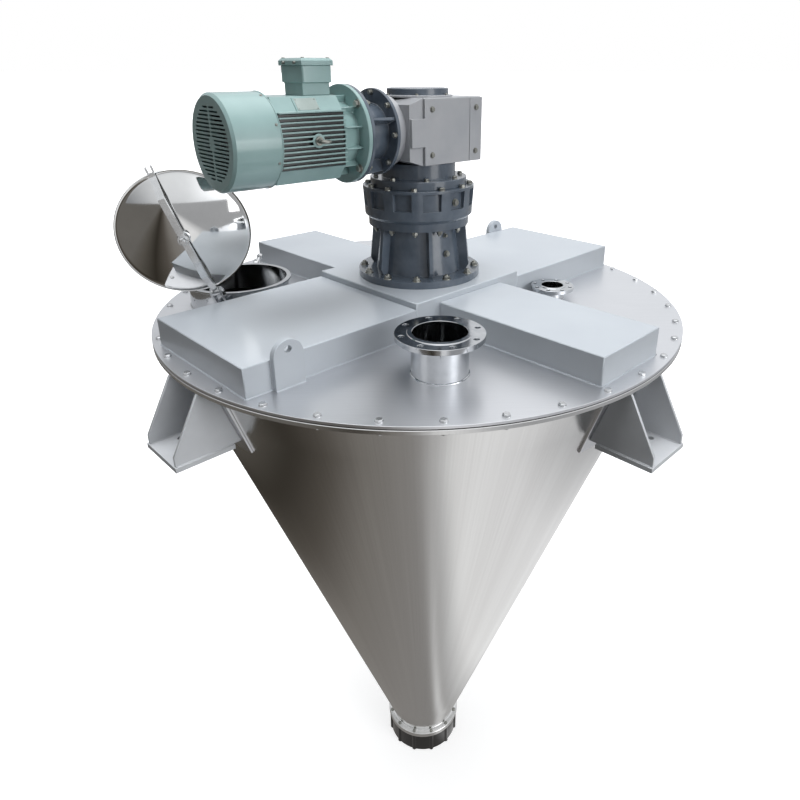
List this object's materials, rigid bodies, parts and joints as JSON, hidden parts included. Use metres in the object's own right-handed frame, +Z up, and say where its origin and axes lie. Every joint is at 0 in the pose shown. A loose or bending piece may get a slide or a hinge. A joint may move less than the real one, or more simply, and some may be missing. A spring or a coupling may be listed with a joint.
{
  "type": "conical screw mixer",
  "caption": "Hanging conical vessel with a bolted cover, box-beam cross and geared drive that swings two inclined screws round the cone wall, with manhole, nozzles and butterfly valve.",
  "frame": {"origin": "on the vessel axis, in the plane of the undersides of the four bracket feet", "axes": "+Z up along the vessel axis, -Y towards the inlet nozzle, +X towards the vent nozzle"},
  "size_m": [2.4785, 2.4698, 4.0775],
  "materials": {
    "stainless_ground": "ground and brushed stainless plate",
    "stainless_polished": "mirror polished stainless",
    "bracket_paint": "grey shop primer on the support brackets",
    "beam_paint": "light blue-grey enamel",
    "reducer_paint": "slate grey enamel on castings",
    "gearbox_paint": "grey enamel",
    "motor_paint": "sage green motor enamel",
    "cowl_paint": "sage green enamel on pressed sheet",
    "zinc_fasteners": "zinc plated bolts",
    "stainless_fasteners": "stainless bolts and pins",
    "machined_steel": "turned steel",
    "valve_paint": "black coated cast iron",
    "rubber_seal": "moulded seal",
    "fan_plastic": "moulded fan"
  },
  "bodies": {
    "vessel_and_drive": {"vessel_shell": "stainless_ground", "cover_gasket": "rubber_seal", "cover_plate": "stainless_ground", "cover_bolts": "stainless_fasteners", "bracket_feet": "bracket_paint", "bracket_ribs": "bracket_paint", "bracket_pads": "stainless_ground", "drive_pedestal": "beam_paint", "wide_beams": "beam_paint", "narrow_beams": "beam_paint", "lifting_lugs": "beam_paint", "inlet_nozzle": "stainless_polished", "vent_nozzle": "stainless_polished", "manhole_neck": "stainless_polished", "neck_ears": "stainless_fasteners", "pivot_pins": "stainless_fasteners", "valve_body": "valve_paint", "valve_bolts": "zinc_fasteners", "reducer_output_housing": "reducer_paint", "pin_gear_housing": "reducer_paint", "reducer_bolts": "zinc_fasteners", "reducer_input_plate": "reducer_paint", "gearbox_case": "gearbox_paint", "gearbox_side_covers": "gearbox_paint", "gearbox_top_cap": "reducer_paint", "motor_adaptor": "reducer_paint", "drive_bolts": "zinc_fasteners", "motor_drive_shield": "motor_paint", "motor_frame": "motor_paint", "motor_rear_shield": "motor_paint", "motor_eye_bolt": "zinc_fasteners", "fan_cowl": "cowl_paint", "terminal_box": "motor_paint", "terminal_box_lid": "motor_paint", "spindle_housing": "machined_steel", "stator_core": "machined_steel", "motor_bearings": "machined_steel", "valve_liner": "rubber_seal", "spindle_bearings": "machined_steel"},
    "swing_head": {"swing_spindle": "machined_steel", "swing_hub": "stainless_ground", "long_screw_arm": "stainless_ground", "short_screw_arm": "stainless_ground", "screw_bearings": "machined_steel", "sleeve_caps": "stainless_fasteners"},
    "long_screw": {"long_screw_shaft": "machined_steel", "long_screw_flights": "stainless_ground"},
    "short_screw": {"short_screw_shaft": "machined_steel", "short_screw_flights": "stainless_ground"},
    "motor_rotor": {"motor_shaft": "machined_steel", "motor_rotor": "machined_steel", "cooling_fan": "fan_plastic"},
    "manhole_lid": {"manhole_lid": "stainless_polished", "lid_gasket": "rubber_seal", "clamp_bar": "stainless_fasteners", "lid_centre_bolt": "stainless_fasteners"},
    "catch_bolt": {"catch_bolt": "stainless_fasteners", "catch_nut": "stainless_fasteners"},
    "discharge_valve": {"valve_disc": "stainless_polished", "valve_stem": "machined_steel"}
  },
  "joints": [
    {"name": "head_swing", "type": "hinge", "parent": "vessel_and_drive", "child": "swing_head", "pos_m": [0, 0, 0.198], "axis": [0, 0, 1], "continuous": true},
    {"name": "long_screw_spin", "type": "hinge", "parent": "swing_head", "child": "long_screw", "pos_m": [0.30325, 0.83317, -0.002], "axis": [0.113, 0.3106, 0.9438], "continuous": true},
    {"name": "short_screw_spin", "type": "hinge", "parent": "swing_head", "child": "short_screw", "pos_m": [-0.30325, -0.83317, -0.002], "axis": [-0.113, -0.3106, 0.9438], "continuous": true},
    {"name": "rotor_spin", "type": "hinge", "parent": "vessel_and_drive", "child": "motor_rotor", "pos_m": [-0.44798, -0.39914, 1.1205], "axis": [-0.7466, -0.6652, 0], "continuous": true},
    {"name": "manhole_hinge", "type": "hinge", "parent": "vessel_and_drive", "child": "manhole_lid", "pos_m": [-0.89538, -0.3037, 0.452], "axis": [0.9603, -0.0436, 0.2756], "range_deg": [-102.2, 0]},
    {"name": "catch_swing", "type": "hinge", "parent": "vessel_and_drive", "child": "catch_bolt", "pos_m": [-0.86912, 0.27471, 0.412], "axis": [0.999, -0.0454, 0], "range_deg": [0, 70]},
    {"name": "valve_turn", "type": "hinge", "parent": "vessel_and_drive", "child": "discharge_valve", "pos_m": [0, 0, -2.6055], "axis": [0, 1, 0], "range_deg": [0, 90]}
  ],
  "couplings": [
    {"joint": "long_screw_spin", "follows": "head_swing", "ratio": 30},
    {"joint": "short_screw_spin", "follows": "head_swing", "ratio": 30}
  ]
}
